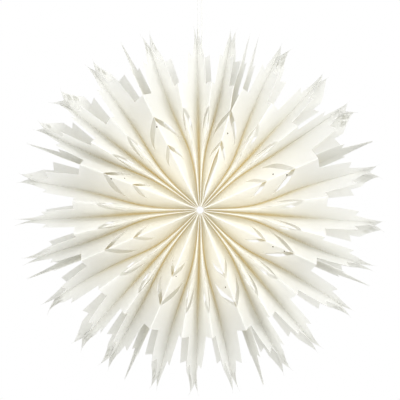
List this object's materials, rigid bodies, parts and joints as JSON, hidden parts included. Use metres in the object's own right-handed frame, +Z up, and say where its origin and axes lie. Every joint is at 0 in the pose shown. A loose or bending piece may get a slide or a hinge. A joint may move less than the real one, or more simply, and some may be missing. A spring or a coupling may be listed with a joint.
{
  "type": "hanging paper snowflake",
  "caption": "Round hanging snowflake of folded and cut white paper bags glued side by side into a star, with a doubled cotton cord ending in an eye.",
  "frame": {"origin": "the point inside the cord's eye that a hook bears on", "axes": "+Z up along the cord, +X to the viewer's right, +Y from the star's front to its back, across its thickness"},
  "size_m": [0.599, 0.18, 0.6725],
  "materials": {
    "paper": "matte",
    "cord": "matte"
  },
  "bodies": {
    "root": {"bundle_1_bag_1": "paper", "bundle_1_bag_2": "paper", "bundle_1_bag_3": "paper", "bundle_1_bag_4": "paper", "bundle_2_bag_1": "paper", "bundle_2_bag_2": "paper", "bundle_2_bag_3": "paper", "bundle_2_bag_4": "paper", "bundle_3_bag_1": "paper", "bundle_3_bag_2": "paper", "bundle_3_bag_3": "paper", "bundle_3_bag_4": "paper", "bundle_4_bag_1": "paper", "bundle_4_bag_2": "paper", "bundle_4_bag_3": "paper", "bundle_4_bag_4": "paper", "bundle_5_bag_1": "paper", "bundle_5_bag_2": "paper", "bundle_5_bag_3": "paper", "bundle_5_bag_4": "paper", "bundle_6_bag_1": "paper", "bundle_6_bag_2": "paper", "bundle_6_bag_3": "paper", "bundle_6_bag_4": "paper", "bundle_7_bag_1": "paper", "bundle_7_bag_2": "paper", "bundle_7_bag_3": "paper", "bundle_7_bag_4": "paper", "bundle_8_bag_1": "paper", "bundle_8_bag_2": "paper", "bundle_8_bag_3": "paper", "bundle_8_bag_4": "paper", "hanging_cord": "cord"}
  },
  "joints": []
}
